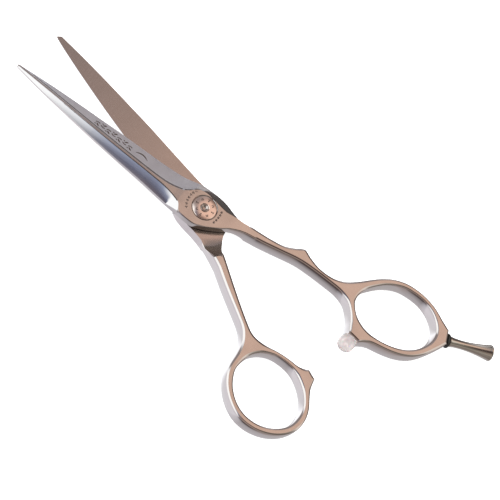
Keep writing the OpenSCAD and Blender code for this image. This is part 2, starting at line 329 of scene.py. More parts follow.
def refine(line, low=14.2, high=15.9, into=4):
    """Smaller steps where a line crosses the lip of the scoop."""
    out = []
    for a, b in zip(line, line[1:]):
        mid = np.hypot(*((a + b) / 2))
        parts = into if low < mid < high else 1
        out += [a + (b - a) * k / parts for k in range(parts)]
    return np.array(out + [line[-1]])


square = np.array([(1.0, 1), (-1, 1), (-1, -1), (1, -1)])
print("normal at a square's first corner:", loop_normals(square).round(2)[0])

# %% [markdown]
# ## From a loop to a ground and polished solid
# Rings climb from the loop to the land. Each kind of surface has its own profile: how
# far in and how high each ring sits, as a share of the way to the land. A buffed wall is
# nearly upright, then turns over through a small shoulder that stops just short of
# flat, which leaves the crisp line where the land was ground last. The hollow behind
# the spine is a shallow arc, and both it and the bevel behind the edge end in a small
# step up, as the grinding wheel leaves them.

# %% Profiles of the ground surfaces
RINGS = 10
KNEE_IN, KNEE_UP = 0.22, 0.833
WALL_TILT, LAND_TILT = 82, 8


def rounded_wall(count=RINGS):
    """Shares in and up for a slightly full wall with a rounded shoulder at the land."""
    full = np.linspace(0, 1, 4)
    tilt = np.radians(np.linspace(WALL_TILT, LAND_TILT, count - 3)[1:])
    steep = math.radians(WALL_TILT)
    across = (math.sin(steep) - np.sin(tilt)) / (math.sin(steep) - np.sin(tilt[-1]))
    climb = (np.cos(tilt) - math.cos(steep)) / (np.cos(tilt[-1]) - math.cos(steep))
    return (np.r_[KNEE_IN * full**2, KNEE_IN + (1 - KNEE_IN) * across],
            np.r_[KNEE_UP * full, KNEE_UP + (1 - KNEE_UP) * climb])


def bevel_profile(foot, step_in=0.0, step_up=0.0):
    """A flat bevel on a narrow upright foot, with a small step up to the land."""
    t = np.linspace(0, 1, RINGS - 2)
    return (np.r_[0, t * (1 - step_in), 1],
            np.r_[0, foot + (1 - foot - step_up) * t, 1])


def hollow_profile(wall, inset):
    """Upright spine wall, the shallow hollow, and a small step up to the strip."""
    t = np.linspace(0, 1, RINGS - 3)
    hollow = 0.56 * t + 0.44 * t**2
    return (np.r_[0, 0.6 * inset, inset + (0.955 - inset) * t, 1],
            np.r_[0, 0.7 * wall, wall + (0.86 - wall) * hollow, 1])


print("rings from the widest line to the land:", RINGS)

# %% [markdown]
# ## Filling the flats
# The land, the ride face and the scoop are single ground faces. A constrained
# triangulation joins their border rings without moving a vertex, and extra points
# carry the curve of the scoop. The walls are bands of quads between two rings.

# %% Inside or outside


def inside(points, loops):
    """Which points lie inside an odd number of the loops."""
    odd = np.zeros(len(points), bool)
    x, y = points[:, 0], points[:, 1]
    for loop in loops:
        for (x0, y0), (x1, y1) in zip(loop, np.roll(loop, -1, axis=0)):
            if y0 == y1:
                continue
            crosses = (y0 > y) != (y1 > y)
            odd ^= crosses & (x < x0 + (y - y0) * (x1 - x0) / (y1 - y0))
    return odd


print("the middle of the square is inside it:", bool(inside(np.zeros((1, 2)), [square])[0]))

# %% Filling between rings
NEAREST = 0.22


def fill(bm, rings, height, slot_index, arcs=()):
    """Triangles between rings of vertices, with extra arcs of points inside them."""
    verts = [v for ring in rings for v in ring]
    flat = [Vector((v.co.x, v.co.y)) for v in verts]
    loops = [np.array([(v.co.x, v.co.y) for v in ring]) for ring in rings]
    edges, start = [], 0
    for ring in rings:
        count = len(ring)
        edges += [(start + k, start + (k + 1) % count) for k in range(count)]
        start += count
    border = np.vstack(loops)
    for arc in arcs:
        arc = np.array(arc)
        near = np.array([np.min(np.hypot(*(border - p).T)) for p in arc])
        keep = inside(arc, loops) & (near > NEAREST)
        for k, p in enumerate(arc):
            if keep[k]:
                flat.append(Vector(p))
                if k and keep[k - 1]:
                    edges.append((len(flat) - 2, len(flat) - 1))
    made = delaunay_2d_cdt(flat, edges, [], 0, 1e-7)
    co, faces, origin = made[0], made[2], made[3]
    vert_of = []
    for p, source in zip(co, origin):
        old = [s for s in source if s < len(verts)]
        vert_of.append(verts[old[0]] if old else bm.verts.new((p.x, p.y, height(p.x, p.y))))
    middle = np.array([np.mean([co[i] for i in f], axis=0) for f in faces])
    for f, good in zip(faces, inside(middle, loops)):
        corners = [vert_of[i] for i in f]
        if good and len(set(corners)) == 3 and not bm.faces.get(corners):
            bm.faces.new(corners).material_index = slot_index


print("extra points keep", NEAREST, "mm away from a border")

# %% Bands, round rings and crisp edges


def bridge(bm, low, high, slot_index):
    """Quads between two rings of the same count; slot_index may differ along them."""
    count = len(low)
    index = np.broadcast_to(slot_index, count)
    for k in range(count):
        n = (k + 1) % count
        corners = []
        for v in (low[k], low[n], high[n], high[k]):
            if v not in corners:
                corners.append(v)
        if len(corners) > 2 and not bm.faces.get(corners):
            bm.faces.new(corners).material_index = int(index[k])


def circle(radius, count=64):
    """Points round a circle about the pivot, as a plan."""
    turn = 2 * math.pi * np.arange(count) / count
    return radius * np.column_stack([np.cos(turn), np.sin(turn)])


def ring_at(bm, plan, height):
    """A ring of vertices over a plan, at one height or at one for each."""
    heights = np.broadcast_to(height, len(plan))
    return [bm.verts.new((x, y, z)) for (x, y), z in zip(plan, heights)]


def keep_crisp(pairs):
    """The edges between these pairs of vertices stay sharp."""
    for a, b in pairs:
        edge = next((e for e in a.link_edges if e.other_vert(a) is b), None)
        if edge:
            edge.smooth = False


def round_pairs(ring):
    """Each vertex of a ring with the next one."""
    return list(zip(ring, ring[1:] + ring[:1]))


print("a round seat has", len(circle(1)), "points")


# %% [markdown]
# ## Building a half
# The same builder makes both halves. It works with the ride face at height zero and
# the outer face up; the thumb half is turned over at the end. Slots on the mesh keep
# the finishes apart: lands, polished walls, the satin bevel, the hollow, the flank
# and the ride face. First comes how far in and up each ring sits at each sample.

# %% Shares of every ring
LAND, WALL, SATIN, HOLLOW, FLANK, INNER = range(6)
KIND_SLOT = {"wall": WALL, "edge": SATIN, "tip": WALL, "spine": HOLLOW, "flank": FLANK}
BLADE = ("edge", "spine", "tip")
EDGE_FOOT = 0.08
EDGE_STEP = (0.055, 0.14)
FLANK_SHAPE = (0.12, 0.05, 0.06)
SPINE_LIP = 0.1
BLEND_REACH = 4


def surface_shares(loop, top, along):
    """Shares in and up of each ring at each sample, by the kind of surface there."""
    span = np.linalg.norm(loop.land - loop.point, axis=1)
    share_in, share_up = np.zeros((2, len(loop.kind), RINGS))
    for k, kind in enumerate(loop.kind):
        if kind in ("edge", "tip"):
            shares = bevel_profile(EDGE_FOOT / max(top[k], 0.3), *EDGE_STEP)
        elif kind == "flank":
            shares = bevel_profile(*FLANK_SHAPE)
        elif kind == "spine":
            shares = hollow_profile(float(spine_height(along[k]) / top[k]), SPINE_LIP / span[k])
        else:
            shares = rounded_wall()
        share_in[k], share_up[k] = shares
    return [share + (around(share, BLEND_REACH) - share) * loop.soft[:, None]
            for share in (share_in, share_up)]


print("the cutting edge keeps an upright foot of", EDGE_FOOT, "mm")

# %% [markdown]
# Near the pivot the hollow runs out on a slanted facet, where the wheel was lifted, and
# the thumb half's low side has a wide chamfer under its wall.

# %% Rings of the outer and the inner side
SHOULDER = 1.9
CHAMFER = 0.95
FACET_AT = (-7.5, -3.8, 2.5)
FACET_SLOPE = (0.36, 0.243)


def run_out(along, across):
    """Height of the facet that the hollow runs out on."""
    x, y, z = FACET_AT
    return z + FACET_SLOPE[0] * (along - x) + FACET_SLOPE[1] * (across - y)


def outer_rings(bm, loop, own, base):
    """Rings from the widest line up to the outer face."""
    blade = np.isin(loop.kind, BLADE)
    near = blade | (np.hypot(*loop.point.T) < CLEAR_R)
    top = np.where(near, land_height(own(loop.land)[0]), HALF_T)
    share_in, share_up = surface_shares(loop, top, own(loop.point)[0])
    spine_side = np.array(loop.kind) == "spine"
    rings = []
    for k in range(RINGS):
        inward, upward = share_in[:, k], share_up[:, k]
        plan = loop.point + (loop.land - loop.point) * inward[:, None]
        plan += loop.bow * (4 * inward * (1 - inward))[:, None]
        z = base + (top - base) * upward
        if k > 1:
            z = np.where(spine_side, np.maximum(z, np.minimum(run_out(*own(plan)), top)), z)
        rings.append(ring_at(bm, plan, z))
    return rings


def under_rings(bm, loop, base, widest_ring):
    """Rings from the widest line down to the handle's other side, or to the ride face."""
    under_in, under_up = rounded_wall(7)
    straight = np.linspace(0, 1, 7)
    rings = [widest_ring]
    depth = np.where(np.isin(loop.kind, BLADE), 0, scoop_depth(*loop.back_land.T))
    for a, b, even in list(zip(under_in, under_up, straight))[1:]:
        a = a + (even - a) * loop.chamfer
        b = b + (even - b) * loop.chamfer
        plan = loop.point + (loop.back_land - loop.point) * a[:, None]
        rings.append(ring_at(bm, plan, base + (depth - base) * b))
    return rings


def eye_rings(bm, eye):
    """Rings down through the hole for the fingers."""
    share_in, share_up = rounded_wall(8)
    rings = []
    for shares, goal in ((list(zip(share_in, share_up))[::-1], HALF_T),
                         (list(zip(share_in, share_up))[1:], -RIDE_UP)):
        for a, b in shares:
            plan = eye.point + eye.normal * eye.inset[:, None] * a
            rings.append(ring_at(bm, plan, WIDEST + (goal - WIDEST) * b))
    return rings


print("chamfer", CHAMFER, "mm wide and", SHOULDER, "mm high; facet slopes", FACET_SLOPE)

# %% The builder
ARC_STEP = 0.35
WELD = 0.004


def build_half(loop, eye, own, seat):
    """Mesh of one half, ride face at zero, outer face up, in millimetres."""
    bm = bmesh.new()
    base = np.where(np.isin(loop.kind, BLADE), 0,
                    np.maximum(scoop_depth(*loop.point.T), WIDEST)) + SHOULDER * loop.chamfer
    rings = outer_rings(bm, loop, own, base)
    kinds = np.array([KIND_SLOT[k] for k in loop.kind])
    for k in range(RINGS - 1):
        bridge(bm, rings[k], rings[k + 1], np.where((kinds == HOLLOW) & (k < 2), WALL, kinds))
    under = under_rings(bm, loop, base, rings[0])
    for a, b in zip(under, under[1:]):
        bridge(bm, b, a, WALL)
    through = eye_rings(bm, eye)
    turned = [ring_at(bm, circle(r), z) for r, z in seat]
    for stack in (through, turned):
        for a, b in zip(stack, stack[1:]):
            bridge(bm, a, b, WALL)

    fill(bm, [rings[-1], through[0], turned[0]],
         lambda x, y: float(land_height(own(np.array([[x, y]]))[0][0])), LAND)
    arcs = []
    for r in CLEAR_R + (SCOOP_R - CLEAR_R) * np.linspace(0, 1, 9):
        turn = np.arange(-math.pi, math.pi, ARC_STEP / r)
        arcs.append(np.column_stack([r * np.cos(turn), r * np.sin(turn)]))
    before = set(bm.faces)
    fill(bm, [under[-1], through[-1], turned[-1]],
         lambda x, y: float(scoop_depth(x, y)), INNER, arcs)
    for face in set(bm.faces) - before:
        x, y, _ = face.calc_center_median()
        if x > 0 and math.hypot(x, y) > SCOOP_R - 0.02:
            face.material_index = LAND

    for ring in [rings[-1], under[-1], through[0], through[-1]] + turned:
        keep_crisp(round_pairs(ring))
    keep_crisp([round_pairs(rings[2])[k] for k in np.where(kinds == HOLLOW)[0]])
    for a, b in zip(rings, rings[1:]):
        keep_crisp([(a[k], b[k]) for k in loop.corners])
    bmesh.ops.remove_doubles(bm, verts=bm.verts, dist=WELD)
    bmesh.ops.dissolve_degenerate(bm, edges=bm.edges, dist=WELD / 2)
    bmesh.ops.recalc_face_normals(bm, faces=bm.faces)
    return bm


print("vertices closer than", WELD, "mm are joined")

# %% [markdown]
# A mesh becomes a piece in one way for every part: its finishes go in its slots, and
# its faces shade smoothly except at the edges marked as crisp. On a half, the faint
# edges in the mirror hollow are kept crisp too, so the facet shows.

# %% From mesh to piece
CRISP_HOLLOW, CRISP = math.radians(3.2), math.radians(26)


def as_piece(bm, name, materials, soft=True):
    """An object in the scene from a finished mesh in metres."""
    mesh = bpy.data.meshes.new(name)
    bm.to_mesh(mesh)
    bm.free()
    for polygon in mesh.polygons:
        polygon.use_smooth = soft
    for material in materials:
        mesh.materials.append(material)
    piece = bpy.data.objects.new(name, mesh)
    bpy.context.scene.collection.objects.link(piece)
    return piece


def finish_half(bm, name, place, materials):
    """Sets a half in its place in metres, with its finishes."""
    bmesh.ops.transform(bm, matrix=place, verts=bm.verts)
    if place.determinant() < 0:
        bmesh.ops.reverse_faces(bm, faces=bm.faces)
    joined = [e for e in bm.edges if len(e.link_faces) == 2]
    for edge in joined:
        ground = all(f.material_index == HOLLOW for f in edge.link_faces)
        if edge.calc_face_angle() > (CRISP_HOLLOW if ground else CRISP):
            edge.smooth = False
    print(name, len(bm.faces), "faces,", len(bm.edges) - len(joined), "open edges")
    return as_piece(bm, name, materials)


print("edges stay crisp above", round(math.degrees(CRISP)), "degrees")

# %% [markdown]
# ## Making the two halves
# Now the lines become loops. The wall turns over within a millimetre along the handle,
# less round the rings where the band is slim, and hardly at all at the pivot, whose
# edge is almost upright.

# %% Walls, bands and corners
ROLL, ROLL_SHARE = 0.95, 0.31
CORNER = math.radians(32)
HEEL_REACH = 3.2
HEEL_BOW = 0.85


def nearest(points, others):
    """Distance from each point to the closest of the others."""
    return np.array([np.min(np.hypot(*(others - p).T)) for p in points])


def roll_widths(points, others):
    """How far in the land starts: a set width, or a share of the band where it is slim."""
    return np.minimum(ROLL, ROLL_SHARE * nearest(points, others))


def ready(loop, inset, other, heel, bow, joins, chamfer=None):
    """Finishes a loop: insets, the bowed heel line, soft joins and crisp corners."""
    loop.close(inset)
    loop.chamfer = np.zeros(len(loop.point)) if chamfer is None else chamfer
    radius = np.hypot(*loop.point.T)
    blade = np.isin(loop.kind, BLADE)
    back = np.where(blade, 0, ease((radius - CLEAR_R - 0.6) / 5))
    back = np.maximum(back * roll_widths(loop.point, other), CHAMFER * loop.chamfer)
    loop.back_land = untangle(loop.point, loop.point + loop.normal * back[:, None], ~blade)
    near_heel = np.exp(-(np.hypot(*(loop.point - heel).T) / HEEL_REACH) ** 2)
    loop.bow = near_heel[:, None] * np.array(bow)
    loop.soft = np.zeros(len(loop.point))
    for x, y in joins:
        away = np.hypot(*(loop.point - (x, y)).T)
        loop.soft = np.maximum(loop.soft, ease(1.6 - away / 3))
    way = np.roll(loop.point, -1, axis=0) - loop.point
    way /= np.linalg.norm(way, axis=1)[:, None]
    turn = (way * np.roll(way, 1, axis=0)).sum(1)
    loop.corners = list(np.where(turn < math.cos(CORNER))[0])
    changes = [k for k in range(len(loop.kind)) if loop.kind[k] != loop.kind[k - 1]]
    loop.corners += [k for k in changes if "edge" in (loop.kind[k], loop.kind[k - 1])]
    return loop


print("a wall turns over within", ROLL, "mm, or", ROLL_SHARE, "of a slim band")

# %% The finger half's loop
edge = smooth(edge_line)
ridge = smooth(ridge_line)
spine = smooth(spine_line)
finger = Loop()
finger.add(edge[::-1], "edge", ridge[::-1])
finger.add(evenly([edge[0], spine[0]], 4), "tip", [ridge[0], strip_line[0]])
finger.add(spine, "spine", smooth(strip_line))
finger.add(refine(smooth(finger_low)), "wall")
finger.add(evenly([finger_low[-1], finger_ring_out[0]]), "wall")
finger.add(smooth(finger_ring_out), "wall")
finger.add(evenly([finger_ring_out[-1], finger_ring_top[0]]), "wall")
finger.add(refine(smooth(finger_ring_top + finger_top)), "wall")
finger.add(refine(smooth(finger_flank)), "flank", smooth(flank_foot))
outline = np.array(finger.point)
hole_points = smooth(finger_hole, closed=True)
widths = roll_widths(outline, hole_points)
x, y = outline.T
boss_low = (y < 0.04 * x + 2.6) & (x < 18)
widths = np.where(boss_low, 0.25 + 0.33 * ease((x - 3) / 13), widths)
finger = ready(finger, widths, hole_points, edge_line[-1], (HEEL_BOW, 0),
               [spine_line[-1], finger_flank[0]])
finger_eye = Loop().add(np.vstack([hole_points, hole_points[:1]]), "wall")
finger_eye.close(roll_widths(hole_points, outline), inward=-1)
print("finger half loop:", len(finger.point), "samples")

# %% The thumb half's loop
edge = to_thumb(smooth(thumb_edge))
ridge = to_thumb(smooth(thumb_ridge))
spine = to_thumb(smooth(thumb_spine))
thumb = Loop()
thumb.add(refine(smooth(thumb_side)), "wall")
thumb.add(refine(smooth(thumb_low)), "wall")
thumb.add(evenly([thumb_low[-1], thumb_top[0]]), "wall")
thumb.add(refine(smooth(thumb_top)), "wall")
thumb.add(spine[::-1], "spine", to_thumb(smooth(thumb_strip))[::-1])
thumb.add(evenly([spine[0], edge[0]], 4), "tip", to_thumb([thumb_strip[0], thumb_ridge[0]]))
thumb.add(edge, "edge", ridge)
outline = np.array(thumb.point)
hole_points = smooth(thumb_hole, closed=True)
widths = roll_widths(outline, hole_points)
widths = np.where(np.hypot(*outline.T) < 12, 0.3, widths)
bow = to_thumb([(HEEL_BOW, 0)])[0]
x, y = outline.T
boss_low = (y < -5) & (x < 14)
chamfer = boss_low * ease((x + 7.4) / 1.5) * ease((8.5 - x) / 4)
thumb = ready(thumb, widths, hole_points, thumb_side[0], bow, [thumb_top[-1]], chamfer)
thumb_eye = Loop().add(np.vstack([hole_points, hole_points[:1]]), "wall")
thumb_eye.close(roll_widths(hole_points, outline), inward=-1)
print("thumb half loop:", len(thumb.point), "samples")

# %% Both halves as meshes


def finger_own(points):
    """Along and across the finger blade."""
    return np.asarray(points).T


def thumb_own(points):
    """Along and across the thumb blade, as it lies at rest."""
    x, y = np.asarray(points).T
    return (x * math.cos(OPEN) - y * math.sin(OPEN),
            -x * math.sin(OPEN) - y * math.cos(OPEN))


recess_r = DIAL_R + 0.05
recess_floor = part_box("wave_washer")[0].z / MM - 0.02 - RIDE_UP
bush_r = (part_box("pivot_bush")[1].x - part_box("pivot_bush")[0].x) / 2 / MM
head_r = (bolt_high.x - bolt_low.x) / 2 / MM + 0.05
BREAK_EDGE = 0.07
HEAD_DEPTH = 0.92
BOLT_HOLE_R = 1.83
finger_seat = [(recess_r + BREAK_EDGE, HALF_T), (recess_r, HALF_T - BREAK_EDGE),
               (recess_r, recess_floor), (bush_r, recess_floor), (bush_r, 0)]
thumb_seat = [(head_r + 0.08, HALF_T), (head_r, HALF_T - 0.08), (head_r, HALF_T - HEAD_DEPTH),
              (BOLT_HOLE_R, HALF_T - HEAD_DEPTH), (BOLT_HOLE_R, 0)]
finger_bm = build_half(finger, finger_eye, finger_own, finger_seat)
thumb_bm = build_half(thumb, thumb_eye, thumb_own, thumb_seat)
print("dial recess radius", round(recess_r, 2), "floor", round(recess_floor, 2))

# %% [markdown]
# ## Finishes
# Every finish starts from what the metal or rubber is and how it was worked. Colours
# are written as sRGB hex values, and one function turns them to linear light. One
# small function adds a node with its settings and links.

# %% Colours


def linear(hex_colour):
    """An sRGB hex colour as linear red, green, blue and alpha."""
    parts = [int(hex_colour[k:k + 2], 16) / 255 for k in (1, 3, 5)]
    return [c / 12.92 if c <= 0.04045 else ((c + 0.055) / 1.055) ** 2.4 for c in parts] + [1]


print("white in linear light:", linear("#ffffff"))

# %% Nodes and materials


def add(tree, kind, settings=(), **inputs):
    """A node in the tree: settings are its own values, inputs are numbers or sockets.

    The setting "stops" lists the (place, linear colour) stops of a colour ramp.
    """
    node = tree.nodes.new(kind)
    settings = dict(settings)
    stops = settings.pop("stops", [])
    if stops:
        band = node.color_ramp.elements
        band.remove(band[-1])
        band[0].position, band[0].color = stops[0]
        for place, colour in stops[1:]:
            band.new(place).color = colour
    for name, value in settings.items():
        setattr(node, name, value)
    for name, value in inputs.items():
        key = int(name[1:]) if name[0] == "i" and name[1:].isdigit() else name.replace("_", " ")
        socket = node.inputs[key]
        if isinstance(value, bpy.types.NodeSocket):
            tree.links.new(value, socket)
        else:
            socket.default_value = value
    return node


def finish_material(name, build):
    """A material whose principled shader is set up by build(tree, shader, place)."""
    material = bpy.data.materials.new(name)
    material.use_nodes = True
    tree = material.node_tree
    tree.nodes.clear()
    out = tree.nodes.new("ShaderNodeOutputMaterial")
    shader = tree.nodes.new("ShaderNodeBsdfPrincipled")
    tree.links.new(shader.outputs[0], out.inputs[0])
    place = add(tree, "ShaderNodeTexCoord").outputs["Object"]
    build(tree, shader, place)
    return material


# %% A finish with a fine cloudy grain


def grained(name, grain_mm, tones, detail=3, rough=None, bump=0.0, **values):
    """A finish that clouds between tones grain_mm across; values are shader sockets."""

    def build(tree, shader, place):
        grain = add(tree, "ShaderNodeTexNoise", Vector=place, Scale=1 / (grain_mm * MM),
                    Detail=detail).outputs["Fac"]
        stops = [(share, linear(colour)) for share, colour in tones]
        tone = add(tree, "ShaderNodeValToRGB", {"stops": stops}, Fac=grain)
        tree.links.new(tone.outputs[0], shader.inputs["Base Color"])
        if rough:
            cloud = add(tree, "ShaderNodeMapRange", Value=grain, i3=rough[0], i4=rough[1])
            tree.links.new(cloud.outputs[0], shader.inputs["Roughness"])
        if bump:
            relief = add(tree, "ShaderNodeBump", Strength=bump, Distance=0.02 * MM, Height=grain)
            tree.links.new(relief.outputs[0], shader.inputs["Normal"])
        for socket, value in values.items():
            shader.inputs[socket.replace("_", " ")].default_value = value

    return finish_material(name, build)

# %% [markdown]
# ## Stainless steel, worked in different ways
# Hairdressing shears are cobalt or 440C stainless steel. The colour hardly changes from
# face to face; what changes is how it was ground. A land is lapped to an even fine
# satin, a wall is buffed bright, the bevel behind the edge is glass-beaded to a dull
# grey, and the hollow is mirror polished. So one recipe makes them all, with a
# grinding direction, the spacing of the grinding lines in millimetres, and how much
# they show. The real lines are a few hundredths of a millimetre apart, far too fine to
# show, so they are drawn coarser.

# %% Steel recipe
STEEL = {"lapped": "#cdc6c0", "buffed": "#d2ccc8", "satin": "#e9ebef", "hollow": "#d2cfce",
         "flank": "#ccc9c6", "ride": "#bdb4ae"}
LINE_LENGTH = 40
CLOUD_MM = 6


def steel(name, colour, rough, line_mm=0.25, turn=0.0, depth=0.02, grain=0.12, ring=False):
    """Stainless steel with fine grinding lines line_mm apart, turned by turn degrees."""

    def build(tree, shader, place):
        fine = 1 / (line_mm * MM)
        if ring:
            parts = add(tree, "ShaderNodeSeparateXYZ", i0=place)
            across = add(tree, "ShaderNodeCombineXYZ", i0=parts.outputs[0], i1=parts.outputs[1])
            radius = add(tree, "ShaderNodeVectorMath", {"operation": "LENGTH"}, i0=across.outputs[0])
            lines = add(tree, "ShaderNodeTexNoise", {"noise_dimensions": "1D"},
                        W=radius.outputs["Value"], Scale=fine, Detail=3)
        else:
            turned = add(tree, "ShaderNodeMapping", i0=place, i2=(0, 0, math.radians(turn)))
            stretched = add(tree, "ShaderNodeMapping", i0=turned.outputs[0],
                            i3=(fine / LINE_LENGTH, fine, fine))
            lines = add(tree, "ShaderNodeTexNoise", Vector=stretched.outputs[0], Scale=1, Detail=3)
        clouds = add(tree, "ShaderNodeTexNoise", Vector=place, Scale=1 / (CLOUD_MM * MM), Detail=4)
        low = [c * (1 - grain) for c in linear(colour)[:3]] + [1]
        tone = add(tree, "ShaderNodeValToRGB", {"stops": [(0.3, low), (0.7, linear(colour))]},
                   Fac=clouds.outputs["Fac"])
        base = add(tree, "ShaderNodeMix", {"data_type": "RGBA", "blend_type": "MULTIPLY"},
                   i0=grain, i6=tone.outputs[0])
        tree.links.new(lines.outputs["Fac"], base.inputs[7])
        tree.links.new(base.outputs[2], shader.inputs["Base Color"])
        spread = add(tree, "ShaderNodeMapRange", Value=lines.outputs["Fac"], i1=0.3, i2=0.7,
                     i3=rough * 0.8, i4=rough * 1.25)
        tree.links.new(spread.outputs[0], shader.inputs["Roughness"])
        bump = add(tree, "ShaderNodeBump", Strength=depth, Distance=0.02 * MM,
                   Height=lines.outputs["Fac"])
        tree.links.new(bump.outputs[0], shader.inputs["Normal"])
        shader.inputs["Metallic"].default_value = 1

    return finish_material(name, build)


lapped = steel("lapped_stainless_steel", STEEL["lapped"], 0.16, 0.3, 10)
buffed = steel("buffed_stainless_steel", STEEL["buffed"], 0.07, 0.5, 0, depth=0.01, grain=0.05)
beaded = steel("satin_blade_steel", STEEL["satin"], 0.34, 0.18, 95, depth=0.12, grain=0.10)
mirror = steel("mirror_hollow_steel", STEEL["hollow"], 0.10, 0.4, 0, depth=0.01, grain=0.05)
flank_steel = steel("polished_flank_steel", STEEL["flank"], 0.13, 0.4, 0, depth=0.01, grain=0.08)
ride_steel = steel("ride_face_steel", STEEL["ride"], 0.20, 0.2, 90, depth=0.02, grain=0.06)
turned_steel = steel("turned_dial_steel", "#c4bbb4", 0.18, 0.12, depth=0.05, ring=True)
dial_steel = steel("faced_dial_steel", "#e9d9cf", 0.14, 0.2, 10, depth=0.02, grain=0.06)
half_finishes = [lapped, buffed, beaded, mirror, flank_steel, ride_steel]
print("steel finishes:", [m.name for m in half_finishes])

# %% Place the halves
up = Matrix.Translation((0, 0, RIDE_UP * MM)) @ Matrix.Diagonal((MM, MM, MM, 1))
down = Matrix.Translation((0, 0, RIDE_LOW * MM)) @ Matrix.Diagonal((MM, MM, -MM, 1))
finger_steel = finish_half(finger_bm, "finger_half_steel", up, half_finishes)
thumb_steel = finish_half(thumb_bm, "thumb_half_steel", down, half_finishes)
for piece, node, body in ((finger_steel, "finger_half", "finger"),
                          (thumb_steel, "thumb_half", "thumb")):
    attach(piece, body)
    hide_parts(node)

# %% [markdown]
# ## Turned parts
# The dial, its screw, the bumper, the tang and the o-ring are all turned or moulded
# round an axis, so a profile swept round that axis makes each of them.

# %% Sweep a profile round an axis
CRISP_TURNED = math.radians(30)


def hexed(piece_radius, angle):
    """Radius of a hexagon across its corners, at an angle."""
    turn = math.degrees(angle) % 60 - 30
    return piece_radius * math.cos(math.radians(30)) / math.cos(math.radians(turn))


def turned_piece(name, profile, foot, axis, material, count=96, hexagon=None):
    """Sweeps (radius, height) points round an axis from foot, in mm; some rows may be six-sided."""
    bm = bmesh.new()
    rows = []
    for k, (radius, height) in enumerate(profile):
        if radius < 1e-6:
            rows.append([bm.verts.new((0, 0, height))])
            continue
        ring = []
        for j in range(count):
            angle = 2 * math.pi * j / count
            r = radius
            if hexagon and hexagon[0] <= k <= hexagon[1]:
                r = hexed(radius, angle)
            ring.append(bm.verts.new((r * math.cos(angle), r * math.sin(angle), height)))
        rows.append(ring)
    for a, b in zip(rows, rows[1:]):
        for j in range(count):
            n = (j + 1) % count
            quad = [a[j % len(a)], a[n % len(a)], b[n % len(b)], b[j % len(b)]]
            corners = [v for i, v in enumerate(quad) if v not in quad[:i]]
            if len(corners) > 2:
                bm.faces.new(corners)
    if len(rows[0]) > 1 and profile[0] == profile[-1]:
        bmesh.ops.remove_doubles(bm, verts=bm.verts, dist=1e-5)
    bmesh.ops.recalc_face_normals(bm, faces=bm.faces)
    for edge in bm.edges:
        if len(edge.link_faces) == 2 and edge.calc_face_angle() > CRISP_TURNED:
            edge.smooth = False
    turn = Vector((0, 0, 1)).rotation_difference(Vector(axis)).to_matrix().to_4x4()
    place = Matrix.Translation(Vector(foot) * MM) @ turn @ Matrix.Diagonal((MM, MM, MM, 1))
    bmesh.ops.transform(bm, matrix=place, verts=bm.verts)
    print(name, len(bm.faces), "faces")
    return as_piece(bm, name, [material])


# %% [markdown]
# ## Tension dial and its screw
# The dial is a thin turned disc that drops into a recess in the finger half. Its rim is
# bevelled, which draws a bright line and a dark line round it, and its hub is bored for
# a small domed screw with a hexagon socket. A painted shade ring on the finger half, just
# outside the recess, darkens the line round the dial.

# %% Tension dial and lock screw
dial_foot = (0, 0, dial_low.z / MM)
dial_t = (dial_high.z - dial_low.z) / MM
hub_r = 1.38
dial_profile = [(1.53, 0.0), (DIAL_R - 0.08, 0.0), (DIAL_R, 0.08), (DIAL_R, dial_t - 0.3),
                (DIAL_R - 0.04, dial_t - 0.14), (DIAL_R - 0.13, dial_t - 0.03),
                (DIAL_R - 0.2, dial_t), (hub_r + 0.12, dial_t), (hub_r, dial_t - 0.1),
                (hub_r, dial_t - 0.34), (1.53, dial_t - 0.34), (1.53, 0.0)]
dial = turned_piece("tension_dial_disc", dial_profile, dial_foot, (0, 0, 1), dial_steel, 128)
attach(dial, "dial")
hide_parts("tension_dial")


screw_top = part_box("lock_screw")[1].z / MM
screw_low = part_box("lock_screw")[0].z / MM
dome = [(1.28, -0.3), (1.28, -0.12), (1.22, -0.03), (1.14, 0.0), (1.05, 0.0), (0.66, -0.26),
        (0.58, -0.3), (0.56, -0.56), (0.5, -0.6), (0, -0.6)]
screw_profile = [(0, screw_low - screw_top), (0.75, screw_low - screw_top), (0.75, -0.3)] + dome
lock_screw = turned_piece("tension_screw", screw_profile, (0, 0, screw_top), (0, 0, 1),
                          turned_steel, 72, hexagon=(9, 11))
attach(lock_screw, "thumb")
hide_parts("lock_screw")

# %% [markdown]
# ## Etched marks
# On shears, etching comes after polishing: ticks round the dial to count its clicks, a row of
# small marks for the steel grade, and a vine along the satin face. Etching is shallow
# and dark. Each stroke here is a thin ribbon laid on the metal under it, a few
# hundredths of a millimetre thick, with its height found by dropping each point onto
# the surface. The same dark ribbons also lay painted shade: a ring round the dial
# recess and lines in the corners between the ground faces.

# %% Ribbons laid on the metal
PROUD = 0.012
BURIED = 0.05


ABOVE = 20
# One dark finish for the etching and for the painted shade ribbons round the dial recess and in the
# corners.
etch_and_shade_dark = grained("dark_etch_and_painted_shade", 0.25, [(0.3, "#332824"), (0.7, "#483a35")],
                     Roughness=0.55, IOR=1.6)


def stroke(points, width, taper=0.0):
    """A stroke as its points and the half width at each, thinner at the ends by taper."""
    points = np.array(points, float)
    t = np.linspace(-1, 1, len(points))
    return points, width / 2 * (1 - taper * t**2)


def polar(r, degrees, shift=0.0):
    """A point at a radius and an angle, shifted along the tangent."""
    a = math.radians(degrees)
    return r * math.cos(a) - shift * math.sin(a), r * math.sin(a) + shift * math.cos(a)


def spoke(r, angle, half, shift, bow, width, taper=0.0):
    """A short stroke along a radius, half of it each side of r, bowed in its middle."""
    return stroke([polar(r - half, angle, shift), polar(r, angle, shift + bow),
                   polar(r + half, angle, shift)], width, taper)
